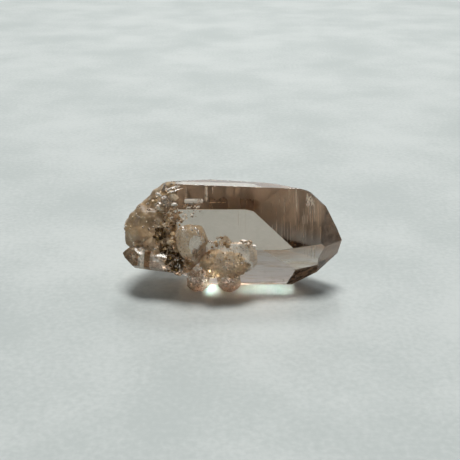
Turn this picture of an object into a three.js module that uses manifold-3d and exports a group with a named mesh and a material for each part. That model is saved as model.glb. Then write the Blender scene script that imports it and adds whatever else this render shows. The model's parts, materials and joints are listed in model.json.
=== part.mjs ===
// Smoky quartz crystal cluster, lying on its side. Millimetres, +Z up.
// +X runs along the long crystal to its clear tip, -Y is the near side with the small crystals.
// The origin is under the middle of the cluster, on the surface it lies on.

import * as THREE from "three";
import { mergeVertices } from "three/addons/utils/BufferGeometryUtils.js";
import Module from "manifold-3d";

// ---- the long crystal ----

// Its six long sides: how far each stands from the crystal's own axis, and the way it looks.
// 0 is to the back, 90 up and 180 to the near side.
const SIDES = {
  top: { turn: 94, distance: 12.3 },
  frontUpper: { turn: 150, distance: 7.65 },
  frontLower: { turn: 210, distance: 7.95 },
  bottom: { turn: 270, distance: 12.0 },
  backLower: { turn: 330, distance: 7.6 },
  backUpper: { turn: 30, distance: 8.95 },
};

// Where the axis runs, seen from the tip: behind the front edge, and above the ground.
const AXIS_BEHIND_FRONT_EDGE = 9.0;
const AXIS_HEIGHT = 12.0;

// The top side falls a little towards the clear tip.
const TOP_FALL_DEG = 1.8;
const TOP_FALL_START_X = -1.0;

// Quartz end faces lean 38.2 degrees to the axis of the crystal.
const END_FACE_LEAN_DEG = 38.2;

// No two faces of a grown crystal stand quite alike: by how much they differ, and how fast that changes
// from crystal to crystal and from face to face.
const UNEVEN = { amount: 0.12, perCrystal: 2.4, perFace: 1.9 };

// Every other end face of a small crystal is set out by this share of the radius, which makes it smaller.
const SMALLER_END_FACE = 0.14;

// Where each end face starts along the side that it ends, at the clear tip and at the frosted end.
const CLEAR_END = { top: 16.2, frontUpper: 20.4, frontLower: 19.9, bottom: 14.4, backLower: 17.5 };
const FROSTED_END = {
  top: -14.8, frontUpper: -17.8, frontLower: -15.5, bottom: -6.4, backLower: -12.0, backUpper: -13.0,
};

// The very end of the frosted side is worn off.
const WORN_TIP_X = -22.0;

// The other faces of the long crystal. way is 1 where a face leans to the clear tip and -1 where it leans
// to the frosted end, and at is a place that the face passes through.
const OTHER_FACES = [
  { name: "back taper", turn: 30, lean: 11.0, way: 1, at: [3.7, 12.2, 24.3] },
  { name: "back slope", turn: 13.85, lean: 33.2, way: 1, at: [5.1, 18.5, 13.3] },
  { name: "tip facet", turn: 15, lean: 43.8, way: 1, at: [24.0, 5.3, 15.25] },
  { name: "ledge on the near side", turn: 194, lean: 6.1, way: 1, at: [11.9, 0.0, 11.7] },
  { name: "low back end face", turn: 312, lean: 38.2, way: 1, at: [13.3, 10.85, 0.0] },
  { name: "top edge, frosted end", turn: 60, lean: 4.5, way: -1, at: [-3.0, 11.7, 24.15] },
  { name: "top edge, middle", turn: 60, lean: 4.0, way: 1, at: [-6.0, 11.5, 24.25] },
  { name: "top edge, right", turn: 60, lean: 8.5, way: 1, at: [3.0, 10.8, 24.35] },
  { name: "top edge, far right", turn: 60, lean: 15.0, way: 1, at: [9.2, 9.5, 24.2] },
];

// ---- the small crystals ----

// at is the tip, as x, distance behind the front edge, and height.
// turn is the way the tip points seen from above, 0 towards the clear tip and -90 to the near side.
// rise is how far it points up, both in degrees. blunt is how much of the tip is broken off.
// growth sets how uneven its faces are, and facing is the way that its first side looks.
const SMALL_CRYSTALS = [
  {
    name: "bulge",
    at: [-26.6, 6.4, 13.6],
    turn: 184, rise: 0, radius: 4.8, length: 10, spin: 12, blunt: 2.6, growth: 40,
  },
  {
    name: "upper bulge",
    at: [-25, 6.4, 16.9],
    turn: 174, rise: 20, radius: 4.3, length: 10, spin: 40, blunt: 1.8, growth: 41,
  },
  {
    name: "brow",
    at: [-21.6, 3.6, 19.6],
    turn: -140, rise: 32, radius: 4.2, length: 10, spin: 24, blunt: 1, growth: 42,
  },
  {
    name: "cheek",
    at: [-21.2, 0.4, 14.6],
    turn: -128, rise: 6, radius: 3.8, length: 9, spin: 5, blunt: 1, growth: 43,
  },
  {
    name: "high point",
    at: [-18.3, 7.8, 22.8],
    turn: -168, rise: 37, radius: 2.9, length: 9, spin: 0, blunt: 0.6, growth: 44,
  },
  {
    name: "back bulge",
    at: [-22.8, 12.4, 11.4],
    turn: 160, rise: -4, radius: 5, length: 10, spin: 8, blunt: 0.8, growth: 45,
  },
  {
    name: "back point",
    at: [-19.6, 17.6, 12],
    turn: 140, rise: 5, radius: 2.8, length: 12, spin: 14, growth: 46,
  },
  {
    name: "back low knob",
    at: [-15.2, 15.8, 6.6],
    turn: 120, rise: -20, radius: 2.3, length: 8, spin: 3, growth: 47,
  },
  {
    name: "back high knob",
    at: [-16.4, 14, 19],
    turn: 130, rise: 35, radius: 2.2, length: 8, spin: 37, growth: 48,
  },
  {
    name: "brown mass, right end",
    at: [5, -1.5, 8.7],
    turn: 2, rise: -3, radius: 2.6, length: 10, spin: 0, blunt: 0.6, growth: 40,
  },
  {
    name: "brown mass, upper",
    at: [1.6, -1.8, 10.3],
    turn: 8, rise: 10, radius: 2, length: 7, spin: 5, blunt: 0.7, growth: 41,
  },
  {
    name: "brown mass, left end",
    at: [-7.8, -1.2, 9.6],
    turn: 186, rise: 2, radius: 2.5, length: 10, spin: 10, blunt: 1, growth: 42,
  },
  {
    name: "brown mass, front",
    at: [-2.6, -3.6, 9.4],
    turn: -92, rise: -4, radius: 2.4, length: 6, spin: 33, blunt: 1, growth: 43,
  },
  {
    name: "brown mass, low knob",
    at: [1.4, -2.9, 8],
    turn: -70, rise: -12, radius: 1.8, length: 5, spin: 12, blunt: 0.7, growth: 44,
  },
  {
    name: "left foot",
    at: [-7.7, 4.7, -2.2],
    turn: 200, rise: -86, radius: 2.2, length: 10, spin: 5, blunt: 1.8, growth: 40,
  },
  {
    name: "left foot, instep",
    at: [-8.1, 1.3, 3.4],
    turn: -95, rise: -10, radius: 1.8, length: 5, spin: 15, blunt: 0.7, growth: 41,
  },
  {
    name: "right foot",
    at: [0.1, 4.6, -2],
    turn: 20, rise: -84, radius: 2.3, length: 8.4, spin: 20, blunt: 1.8, growth: 40,
  },
  {
    name: "right foot, instep",
    at: [0.6, 2.2, 3.2],
    turn: -80, rise: -12, radius: 1.7, length: 5, spin: 2, blunt: 0.5, growth: 41,
  },
  {
    name: "stub to the near side",
    at: [-10.1, -3.3, 17.7],
    turn: -112, rise: 46, radius: 3.5, length: 10, facing: [0.55, -0.82, -0.05], growth: 7,
  },
  {
    name: "low left point",
    at: [-24.4, 3.3, 9.5],
    turn: 173, rise: 5, radius: 3, length: 14.5, spin: 27, growth: 0,
  },
  {
    name: "clear block",
    at: [7.8, 1, 10],
    turn: 4, rise: 2, radius: 3.1, length: 10, spin: 0, blunt: 1.9, growth: 1,
  },
  {
    name: "small peak",
    at: [-0.9, 0.1, 14.9],
    turn: -80, rise: 72, radius: 1.6, length: 6, spin: 20, growth: 2,
  },
  {
    name: "block knob",
    at: [3.2, -0.6, 12.6],
    turn: -60, rise: 30, radius: 1.9, length: 6, spin: 15, blunt: 0.4, growth: 3,
  },
  {
    name: "rib beside the stub",
    at: [-3.4, -0.5, 13.2],
    turn: -40, rise: 25, radius: 1.3, length: 5, spin: 12, growth: 4,
  },
  {
    name: "knob over the brown mass",
    at: [-0.9, -1, 12.2],
    turn: -70, rise: 50, radius: 1.2, length: 5, spin: 40, growth: 5,
  },
  {
    name: "second knob over it",
    at: [1.6, -1.2, 11.4],
    turn: -60, rise: 35, radius: 1.4, length: 5, spin: 10, growth: 6,
  },
  {
    name: "knob under the stub",
    at: [-9, -2.2, 8.6],
    turn: -80, rise: -10, radius: 2.2, length: 7, spin: 8, growth: 7,
  },
  {
    name: "crest point",
    at: [-15, 6.4, 24.2],
    turn: -115, rise: 42, radius: 1.8, length: 7, spin: 22, growth: 8,
  },
  {
    name: "crest knob",
    at: [-12.7, 4.8, 22.8],
    turn: -70, rise: 30, radius: 1.5, length: 6, spin: 45, growth: 9,
  },
  {
    name: "crest rib",
    at: [-15.6, 3, 21],
    turn: -100, rise: 25, radius: 1.9, length: 6, spin: 31, growth: 10,
  },
  {
    name: "seam point high",
    at: [-12.6, 2.3, 19.4],
    turn: -80, rise: 30, radius: 1.5, length: 6, spin: 33, growth: 11,
  },
  {
    name: "seam point middle",
    at: [-13.6, 0.5, 17.2],
    turn: -95, rise: 20, radius: 1.6, length: 6, spin: 11, growth: 12,
  },
  {
    name: "seam point low",
    at: [-13.2, -1.4, 14],
    turn: -110, rise: 8, radius: 1.5, length: 6, spin: 3, growth: 13,
  },
  {
    name: "cheek knob",
    at: [-19.2, -0.8, 12.6],
    turn: -120, rise: -2, radius: 1.7, length: 7, spin: 50, growth: 14,
  },
  {
    name: "chin knob",
    at: [-16.9, -0.9, 10.6],
    turn: -105, rise: -12, radius: 1.8, length: 7, spin: 16, growth: 15,
  },
  {
    name: "low left shoulder",
    at: [-21.6, 1.6, 12.2],
    turn: -150, rise: -5, radius: 1.9, length: 8, spin: 21, growth: 16,
  },
  {
    name: "foot shoulder",
    at: [-10.4, 0.9, 5.4],
    turn: -110, rise: -40, radius: 1.6, length: 6, spin: 27, growth: 17,
  },
  {
    name: "back seam knob",
    at: [-15.8, 17, 15.4],
    turn: 95, rise: 25, radius: 1.8, length: 7, spin: 19, growth: 18,
  },
];

// ---- the iron clay ----

// It fills the hollow between the small crystals and never touches them in the model.
const CLAY_GAP = 0.3;
const CLAY_LUMPS = [
  { at: [-16.6, -1.3, 16.1], size: [1.6, 1.2, 1.6] },
  { at: [-16.0, -1.5, 14.7], size: [1.2, 1.2, 1.5] },
  { at: [-15.3, -1.7, 13.1], size: [1.2, 1.3, 1.6] },
  { at: [-14.3, -1.5, 11.4], size: [1.7, 1.4, 1.6] },
  { at: [-12.9, -1.2, 9.6], size: [2.2, 1.7, 1.9] },
  { at: [-11.8, -0.6, 8.0], size: [2.0, 1.8, 1.5] },
];

// A ball is cut this finely before it is made lumpy.
const LUMP_DETAIL = 3;

// Crossed waves make its surface uneven, broad ones with finer ones on them. The phases start the waves
// elsewhere on each lump, and height is a share of the lump's size.
const LUMP_BUMPS = {
  height: 0.13,
  broad: { x: 6.1, phaseX: 2, y: 5.3, phaseY: 3 },
  fine: { share: 0.6, x: 7.9, y: 8.3, z: 9.7 },
};

// ---- looks ----

const QUARTZ_LOOK = { color: 0x8a7460, roughness: 0.1, metalness: 0 };
const CLAY_LOOK = { color: 0x2a1d10, roughness: 0.9, metalness: 0 };

// ---- making ----

// Half the size of the block that a crystal is cut from.
const BLANK_HALF = 40;

// Corners nearer to each other than this are one corner.
const WELD_DISTANCE = 1e-5;

const wasm = await Module();
wasm.setup();

const radians = THREE.MathUtils.degToRad;

// A three.js shape as a solid that can be cut and joined.
function solidFrom(geometry) {
  const bare = new THREE.BufferGeometry();
  bare.setAttribute("position", geometry.getAttribute("position"));
  bare.setIndex(geometry.getIndex());
  const merged = mergeVertices(bare, WELD_DISTANCE);
  return new wasm.Manifold(new wasm.Mesh({
    numProp: 3,
    vertProperties: Float32Array.from(merged.getAttribute("position").array),
    triVerts: Uint32Array.from(merged.getIndex().array),
  }));
}

// Cuts away what lies outside a flat face. The face is given by the way it looks and its distance.
function cutFace(solid, normal, distance) {
  return solid.trimByPlane([-normal.x, -normal.y, -normal.z], -distance);
}

// A block big enough to cut any crystal from.
function blank() {
  return solidFrom(new THREE.BoxGeometry(2 * BLANK_HALF, 2 * BLANK_HALF, 2 * BLANK_HALF));
}

// The way that a side of the long crystal looks, by its angle: 0 is back, 90 is up, 180 is near.
function sideNormal(angleDeg) {
  return new THREE.Vector3(0, Math.cos(radians(angleDeg)), Math.sin(radians(angleDeg)));
}

// A face leaning towards an end of the long crystal. way is 1 for the clear tip, -1 for the frosted end.
function leaningNormal(angleDeg, leanDeg, way) {
  return sideNormal(angleDeg)
    .multiplyScalar(Math.cos(radians(leanDeg)))
    .add(new THREE.Vector3(way * Math.sin(radians(leanDeg)), 0, 0));
}

// The long crystal with each face moved out by gap.
function longCrystal(gap) {
  const axis = new THREE.Vector3(0, AXIS_BEHIND_FRONT_EDGE, AXIS_HEIGHT);
  let crystal = blank();
  const cutThrough = (turn, lean, way, place) => {
    const normal = leaningNormal(turn, lean, way);
    crystal = cutFace(crystal, normal, normal.dot(place) + gap);
  };
  const onSide = (name, x) => {
    const place = axis.clone().addScaledVector(sideNormal(SIDES[name].turn), SIDES[name].distance);
    return place.setX(x);
  };

  for (const name of Object.keys(SIDES)) {
    if (name === "top") {
      cutThrough(SIDES.top.turn, TOP_FALL_DEG, 1, onSide(name, TOP_FALL_START_X));
    } else {
      cutThrough(SIDES[name].turn, 0, 1, onSide(name, 0));
    }
  }
  for (const [name, start] of Object.entries(CLEAR_END)) {
    cutThrough(SIDES[name].turn, END_FACE_LEAN_DEG, 1, onSide(name, start));
  }
  for (const [name, start] of Object.entries(FROSTED_END)) {
    cutThrough(SIDES[name].turn, END_FACE_LEAN_DEG, -1, onSide(name, start));
  }
  for (const face of OTHER_FACES) {
    cutThrough(face.turn, face.lean, face.way, new THREE.Vector3(...face.at));
  }
  return cutFace(crystal, new THREE.Vector3(-1, 0, 0), -WORN_TIP_X + gap);
}

// How a small crystal stands: its tip up along pointing, its first side towards facing if that is given.
function standing(entry) {
  const pointing = new THREE.Vector3(
    Math.cos(radians(entry.turn)) * Math.cos(radians(entry.rise)),
    Math.sin(radians(entry.turn)) * Math.cos(radians(entry.rise)),
    Math.sin(radians(entry.rise)),
  );
  const placing = new THREE.Matrix4();
  if (entry.facing) {
    const across = new THREE.Vector3(...entry.facing);
    across.addScaledVector(pointing, -across.dot(pointing)).normalize();
    placing.makeBasis(across, pointing.clone().cross(across), pointing);
  } else {
    placing.makeRotationFromQuaternion(
      new THREE.Quaternion().setFromUnitVectors(new THREE.Vector3(0, 0, 1), pointing),
    );
  }
  return placing.setPosition(...entry.at);
}

// One small crystal with each face moved out by gap: six sides and six end faces, uneven as grown.
function smallCrystal(entry, gap) {
  let crystal = blank();
  const uneven = (k) => (
    1 + UNEVEN.amount * Math.sin(UNEVEN.perCrystal * entry.growth + UNEVEN.perFace * k)
  );
  for (let k = 0; k < 6; k += 1) {
    const around = radians(60 * k + (entry.spin ?? 0));
    const outward = new THREE.Vector3(Math.cos(around), Math.sin(around), 0);
    crystal = cutFace(crystal, outward, entry.radius * uneven(k) + gap);
    const endFace = outward.clone().multiplyScalar(Math.cos(radians(END_FACE_LEAN_DEG)));
    endFace.z = Math.sin(radians(END_FACE_LEAN_DEG));
    const smaller = k % 2 === 0 ? 0 : SMALLER_END_FACE * entry.radius;
    crystal = cutFace(crystal, endFace, smaller * uneven(k + 3) + gap);
  }
  if (entry.blunt) {
    crystal = cutFace(crystal, new THREE.Vector3(0, 0, 1), -entry.blunt + gap);
  }
  crystal = cutFace(crystal, new THREE.Vector3(0, 0, -1), entry.length + gap);
  return crystal.transform(standing(entry).toArray());
}

// All of the quartz, joined where the crystals grew into each other, with each face moved out by gap.
function quartz(gap) {
  let joined = longCrystal(gap);
  for (const entry of SMALL_CRYSTALS) {
    joined = joined.add(smallCrystal(entry, gap));
  }
  return joined;
}

// A ball with an uneven, lumpy surface.
function lumpyBall(at, size) {
  const { height, broad, fine } = LUMP_BUMPS;
  const ball = new THREE.IcosahedronGeometry(1, LUMP_DETAIL);
  const points = ball.getAttribute("position");
  const point = new THREE.Vector3();
  for (let i = 0; i < points.count; i += 1) {
    point.fromBufferAttribute(points, i);
    const broadBump = Math.sin(broad.x * point.x + broad.phaseX * at[0])
      * Math.sin(broad.y * point.y + broad.phaseY * at[2]);
    const fineBump = Math.sin(fine.z * point.z + fine.x * point.x + at[0])
      * Math.sin(fine.y * point.y + at[2]);
    point.multiplyScalar(1 + height * (broadBump + fine.share * fineBump));
    points.setXYZ(i, point.x, point.y, point.z);
  }
  ball.scale(...size);
  ball.translate(...at);
  return solidFrom(ball);
}

// The clay lumps joined, less the room that the quartz takes up. Only the largest piece is kept.
function clay() {
  let lumps = null;
  for (const lump of CLAY_LUMPS) {
    const solid = lumpyBall(lump.at, lump.size);
    lumps = lumps ? lumps.add(solid) : solid;
  }
  const pieces = lumps.subtract(quartz(CLAY_GAP)).decompose();
  const [largest] = pieces.sort((one, other) => other.volume() - one.volume());
  return largest;
}

// A solid as a named mesh, moved so that the cluster stands over the origin.
function meshFrom(solid, name, look, shift) {
  const { vertProperties, triVerts } = solid.translate(shift).getMesh();
  const geometry = new THREE.BufferGeometry();
  geometry.setAttribute("position", new THREE.BufferAttribute(Float32Array.from(vertProperties), 3));
  geometry.setIndex(new THREE.BufferAttribute(Uint32Array.from(triVerts), 1));
  geometry.computeVertexNormals();
  const material = new THREE.MeshStandardMaterial({ ...look, flatShading: true });
  const mesh = new THREE.Mesh(geometry, material);
  mesh.name = name;
  return mesh;
}

// The feet are worn flat where the cluster lies on the ground.
const ground = new THREE.Vector3(0, 0, -1);
const cluster = cutFace(quartz(0), ground, 0);
const fill = cutFace(clay(), ground, 0);

const reach = cluster.boundingBox();
const shift = [-(reach.min[0] + reach.max[0]) / 2, -(reach.min[1] + reach.max[1]) / 2, -reach.min[2]];

const part = new THREE.Group();
part.name = "smoky_quartz_cluster";
part.add(meshFrom(cluster, "quartz_cluster", QUARTZ_LOOK, shift));
part.add(meshFrom(fill, "iron_clay", CLAY_LOOK, shift));

export default part;
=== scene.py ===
import json
import math
import random
import bpy
import bmesh
from mathutils import Matrix, Vector, noise
from mathutils.bvhtree import BVHTree

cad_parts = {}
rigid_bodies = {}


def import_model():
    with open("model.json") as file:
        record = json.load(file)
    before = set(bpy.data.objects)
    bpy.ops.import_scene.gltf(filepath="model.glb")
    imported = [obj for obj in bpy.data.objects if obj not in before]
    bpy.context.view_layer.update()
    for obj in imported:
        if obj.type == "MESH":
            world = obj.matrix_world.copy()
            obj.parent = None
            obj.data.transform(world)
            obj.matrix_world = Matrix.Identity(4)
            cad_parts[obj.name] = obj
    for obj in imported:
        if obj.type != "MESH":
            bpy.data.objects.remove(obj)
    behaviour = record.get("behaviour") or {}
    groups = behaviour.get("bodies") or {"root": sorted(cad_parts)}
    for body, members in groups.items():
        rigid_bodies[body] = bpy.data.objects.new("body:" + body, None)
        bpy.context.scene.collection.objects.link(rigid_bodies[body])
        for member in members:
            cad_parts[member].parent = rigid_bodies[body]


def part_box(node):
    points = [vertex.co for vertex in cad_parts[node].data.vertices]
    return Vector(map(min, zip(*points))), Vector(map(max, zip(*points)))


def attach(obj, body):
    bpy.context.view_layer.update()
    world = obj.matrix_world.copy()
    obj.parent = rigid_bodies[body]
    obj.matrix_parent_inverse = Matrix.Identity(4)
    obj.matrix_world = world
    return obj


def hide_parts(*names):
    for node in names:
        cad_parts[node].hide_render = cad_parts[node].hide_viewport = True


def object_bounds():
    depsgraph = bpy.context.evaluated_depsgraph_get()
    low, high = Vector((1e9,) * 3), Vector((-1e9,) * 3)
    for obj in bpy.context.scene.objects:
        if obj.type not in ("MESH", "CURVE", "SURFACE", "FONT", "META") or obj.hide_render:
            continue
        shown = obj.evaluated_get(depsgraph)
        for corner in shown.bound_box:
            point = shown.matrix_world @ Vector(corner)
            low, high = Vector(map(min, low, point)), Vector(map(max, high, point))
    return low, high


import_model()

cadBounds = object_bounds()
scene = bpy.context.scene
mm = 0.001

# The crystals are laid out in millimetres from the foot of the long crystal's front edge,
# then set down in the frame all at once. That foot is this far from the middle of the cluster.
footFromMiddle = {
    "along": -0.498 * mm,
    "across": -6.738 * mm,
}
quartzLow, quartzHigh = (Vector(corner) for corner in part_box("quartz_cluster"))
frontEdgeFoot = Vector((
    (quartzLow.x + quartzHigh.x) / 2 + footFromMiddle["along"],
    (quartzLow.y + quartzHigh.y) / 2 + footFromMiddle["across"],
    quartzLow.z,
))
toFrame = Matrix.Translation(frontEdgeFoot) @ Matrix.Scale(mm, 4)


class Wire:
    # one socket, so that a material's maths can be written as a sum
    def __init__(self, tree, socket):
        self.tree = tree
        self.socket = socket

    def node(self, kind, settings=None, output=0, **inputs):
        # settings go in first, because they change which sockets there are; in0, in1 name sockets by number
        made = self.tree.nodes.new(kind)
        for name, value in (settings or {}).items():
            if name == "stops":
                fillRamp(made.color_ramp, value)
            else:
                setattr(made, name, value)
        for name, value in inputs.items():
            numbered = name.startswith("in") and name[2:].isdigit()
            target = made.inputs[int(name[2:]) if numbered else name.replace("_", " ")]
            if isinstance(value, Wire):
                self.tree.links.new(value.socket, target)
            else:
                target.default_value = value
        return Wire(self.tree, made.outputs[output] if made.outputs else None)

    def maths(self, operation, *values, clamp=False):
        inputs = {f"in{index}": value for index, value in enumerate(values)}
        return self.node("ShaderNodeMath", {"operation": operation, "use_clamp": clamp}, **inputs)

    def __add__(self, other):
        return self.maths("ADD", self, other)

    def __sub__(self, other):
        return self.maths("SUBTRACT", self, other)

    def __mul__(self, other):
        return self.maths("MULTIPLY", self, other)

    def __radd__(self, other):
        return self.maths("ADD", other, self)

    def __rsub__(self, other):
        return self.maths("SUBTRACT", other, self)

    def __rmul__(self, other):
        return self.maths("MULTIPLY", other, self)

    def larger(self, other):
        return self.maths("MAXIMUM", self, other)

    def clamped(self):
        return self.maths("ADD", self, 0.0, clamp=True)

    def between(self, low, high):
        # 0 at low, 1 at high and smooth in between; low may be the larger number
        smooth = {"interpolation_type": "SMOOTHSTEP"}
        return self.node("ShaderNodeMapRange", smooth, in0=self, in1=low, in2=high)

    def noise(self, scale, detail=4.0, roughness=0.55):
        return self.node("ShaderNodeTexNoise", Vector=self, Scale=scale, Detail=detail, Roughness=roughness)

    def stretched(self, *scale, turned=(0.0, 0.0, 0.0)):
        return self.node("ShaderNodeMapping", Vector=self, Rotation=turned, Scale=scale)

    def part(self, axis):
        return self.node("ShaderNodeSeparateXYZ", None, axis, Vector=self)

    def mix(self, one, other):
        return self.node("ShaderNodeMix", {"data_type": "RGBA"}, 2, in0=self, in6=one, in7=other)


def fillRamp(ramp, stops):
    while len(ramp.elements) < len(stops):
        ramp.elements.new(0.5)
    for element, (position, colour) in zip(ramp.elements, stops):
        element.position = position
        element.color = colour


def newMaterial(name):
    material = bpy.data.materials.new(name)
    material.use_nodes = True
    material.node_tree.nodes.clear()
    start = Wire(material.node_tree, None)
    return material, start, start.node("ShaderNodeTexCoord", output=3)


def rgb(red, green, blue):
    return (red, green, blue, 1.0)


def makeObject(shape, name, collection):
    mesh = bpy.data.meshes.new(name)
    shape.to_mesh(mesh)
    shape.free()
    made = bpy.data.objects.new(name, mesh)
    collection.objects.link(made)
    return made


print("stage: camera, lights and floor")

view = {
    "aim": (-0.00054, 0.00254, 0.0127),
    "distance": 0.213,
    "rise": 22.0,  # degrees above the floor
    "lens": 72.0,
    "filmWidth": 36.0,
    "nearest": 0.01,
}

room = {
    "colour": (0.90, 0.95, 0.97),
    "dim": 0.06,
    "bright": 0.47,
    "nearShare": 0.25,
    "far": (-0.5, 0.85),  # it gets brighter from the near side to the far side
    "high": (0.75, 0.25),  # and darker overhead
}

lamps = {
    "skylight": {"kind": "SUN", "angle": 25.0, "energy": 2.05, "color": (1.0, 0.985, 0.96),
                 "place": (0.02, 0.09, 1.0)},
    "softbox": {"kind": "AREA", "size": 0.11, "energy": 0.6, "color": (1.0, 0.99, 0.98),
                "place": (0.04, 0.42, 0.54)},
    "window": {"kind": "AREA", "size": 0.30, "energy": 0.5, "color": (1.0, 0.99, 0.98),
               "place": (0.02, 0.80, 0.54), "throughGlass": False},
    # light thrown low under the front edge, as from narrow white cards
    "low card": {"kind": "AREA", "shape": "RECTANGLE", "size": 0.011, "size_y": 0.0024, "spread": 1.5,
                 "energy": 0.00024, "color": (0.96, 1.0, 0.97),
                 "place": (0.0078, -0.16, 0.10), "aim": (0.0078, -0.0012, 0.0)},
    "narrow card": {"kind": "AREA", "shape": "RECTANGLE", "size": 0.0014, "size_y": 0.0030, "spread": 1.0,
                    "energy": 0.00022, "color": (0.96, 1.0, 0.97),
                    "place": (-0.0046, -0.16, 0.10), "aim": (-0.0046, -0.0018, 0.0)},
}

floorLook = {
    "pale": rgb(0.60, 0.64, 0.635),
    "shade": rgb(0.50, 0.545, 0.54),
    "roughness": 0.7,
    "clouds": 26.0,
    "grain": 800.0,
    "grainShare": 0.35,
    "contrast": (0.36, 0.64),
    "radius": 4.0,
    "gap": 0.00002,  # below the feet
}


def addCamera():
    camera = bpy.data.objects.new("camera", bpy.data.cameras.new("camera"))
    camera.data.lens = view["lens"]
    camera.data.sensor_width = view["filmWidth"]
    camera.data.clip_start = view["nearest"]
    rise = math.radians(view["rise"])
    back = Vector((0, -math.cos(rise), math.sin(rise)))
    camera.location = Vector(view["aim"]) + back * view["distance"]
    camera.rotation_euler = (math.pi / 2 - rise, 0, 0)
    scene.collection.objects.link(camera)
    scene.camera = camera


def hangLamp(name, kind, place, aim=view["aim"], throughGlass=True, **settings):
    lamp = bpy.data.lights.new(name, kind)
    for setting, value in settings.items():
        setattr(lamp, setting, math.radians(value) if setting in ("angle", "spread") else value)
    hung = bpy.data.objects.new(name, lamp)
    hung.location = place
    hung.rotation_euler = (Vector(aim) - Vector(place)).to_track_quat("-Z", "Y").to_euler()
    hung.visible_camera = False
    hung.visible_transmission = throughGlass
    scene.collection.objects.link(hung)


def addRoom():
    # a pale room, brighter on the far side
    world = bpy.data.worlds.new("room")
    world.use_nodes = True
    world.node_tree.nodes.clear()
    start = Wire(world.node_tree, None)
    direction = start.node("ShaderNodeTexCoord")
    farness = direction.part(1).between(*room["far"])
    glow = (room["nearShare"] + farness * (1 - room["nearShare"])) * direction.part(2).between(*room["high"])
    strength = room["dim"] + glow * (room["bright"] - room["dim"])
    sky = start.node("ShaderNodeBackground", Color=rgb(*room["colour"]), Strength=strength)
    start.node("ShaderNodeOutputWorld", Surface=sky)
    scene.world = world


def floorMaterial():
    material, start, place = newMaterial("pale floor")
    clouds = place.noise(floorLook["clouds"], 6.0)
    grain = place.noise(floorLook["grain"], 3.0)
    mottling = clouds * (1 - floorLook["grainShare"]) + grain * floorLook["grainShare"]
    colour = mottling.between(*floorLook["contrast"]).mix(floorLook["shade"], floorLook["pale"])
    shader = start.node("ShaderNodeBsdfPrincipled", Base_Color=colour, Roughness=floorLook["roughness"])
    start.node("ShaderNodeOutputMaterial", Surface=shader)
    return material


def addFloor():
    sheet = bmesh.new()
    bmesh.ops.create_circle(sheet, cap_ends=True, segments=64, radius=floorLook["radius"])
    bmesh.ops.translate(sheet, verts=sheet.verts, vec=(0, 0, cadBounds[0][2] - floorLook["gap"]))
    floor = makeObject(sheet, "floor", scene.collection)
    floor.data.materials.append(floorMaterial())


addCamera()
addRoom()
for name, settings in lamps.items():
    hangLamp(name, **settings)
addFloor()

print("stage: cutting the crystals")

# half the size of the block that a crystal is cut from, and how near corners count as one
blankHalf = {"long": 40.0, "small": 20.0, "druse": 6.0}
tidyCut = 1e-4
tidyJoin = 1e-3
coats = ("frost", "crust", "rust")
bare = (0.0, 0.0, 0.0)


def sideNormal(angle):
    # which way a side of the long crystal faces: 0 is back, 90 is up, 180 is towards the viewer
    return Vector((0, math.cos(math.radians(angle)), math.sin(math.radians(angle))))


def leaningNormal(angle, lean, way):
    lean = math.radians(lean)
    return sideNormal(angle) * math.cos(lean) + Vector((way * math.sin(lean), 0, 0))


def allOf(shape):
    return shape.verts[:] + shape.edges[:] + shape.faces[:]


def cutOff(shape, normal, distance):
    # what lies beyond the flat face goes, and the cut is closed
    cut = bmesh.ops.bisect_plane(
        shape, geom=allOf(shape), dist=tidyCut, plane_co=normal * distance, plane_no=normal, clear_outer=True)
    rim = [item for item in cut["geom_cut"] if isinstance(item, bmesh.types.BMEdge)]
    if rim:
        bmesh.ops.edgenet_fill(shape, edges=rim)


def cutBlock(faces, half):
    block = bmesh.new()
    bmesh.ops.create_cube(block, size=2 * half)
    for normal, distance in faces:
        cutOff(block, normal, distance)
    bmesh.ops.remove_doubles(block, verts=block.verts, dist=tidyJoin)
    bmesh.ops.dissolve_degenerate(block, edges=block.edges, dist=tidyJoin)
    bmesh.ops.recalc_face_normals(block, faces=block.faces)
    return block


def roundEdges(shape, width):
    bmesh.ops.bevel(
        shape, geom=shape.edges[:], offset=width, offset_type="OFFSET", affect="EDGES", segments=1,
        profile=0.5, material=-1, clamp_overlap=True)


def standAt(shape, tip, direction):
    turn = Vector((0, 0, 1)).rotation_difference(direction).to_matrix().to_4x4()
    bmesh.ops.transform(shape, matrix=Matrix.Translation(tip) @ turn, verts=shape.verts)


def finish(shape, frost, crust, rust):
    # how frosted a crystal is, how much crust it carries and how rusty that is go with each of its faces
    for name, value in (("frost", frost), ("crust", crust), ("rust", rust), ("dull", 0.0), ("haze", 0.0)):
        layer = shape.faces.layers.float.get(name) or shape.faces.layers.float.new(name)
        for face in shape.faces:
            face[layer] = value
    return shape


def coatLayers(shape):
    return [shape.faces.layers.float[name] for name in coats]


def coatFace(face, layers, coat):
    for layer, value in zip(layers, coat):
        face[layer] = value


def appliedMesh(made):
    mesh = bpy.data.meshes.new_from_object(made.evaluated_get(bpy.context.evaluated_depsgraph_get()))
    shape = bmesh.new()
    shape.from_mesh(mesh)
    bpy.data.meshes.remove(mesh)
    return shape


def discard(made):
    mesh = made.data
    bpy.data.objects.remove(made)
    bpy.data.meshes.remove(mesh)


def growTogether(base, others):
    # the shapes joined into one closed body
    pile = bpy.data.collections.new("pile")
    for shape in others:
        makeObject(shape, "grown", pile)
    body = makeObject(base, "body", scene.collection)
    join = body.modifiers.new("join", "BOOLEAN")
    join.operation = "UNION"
    join.operand_type = "COLLECTION"
    join.collection = pile
    join.solver = "MANIFOLD"
    joined = appliedMesh(body)
    for made in [body, *pile.objects]:
        discard(made)
    bpy.data.collections.remove(pile)
    return joined


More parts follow.
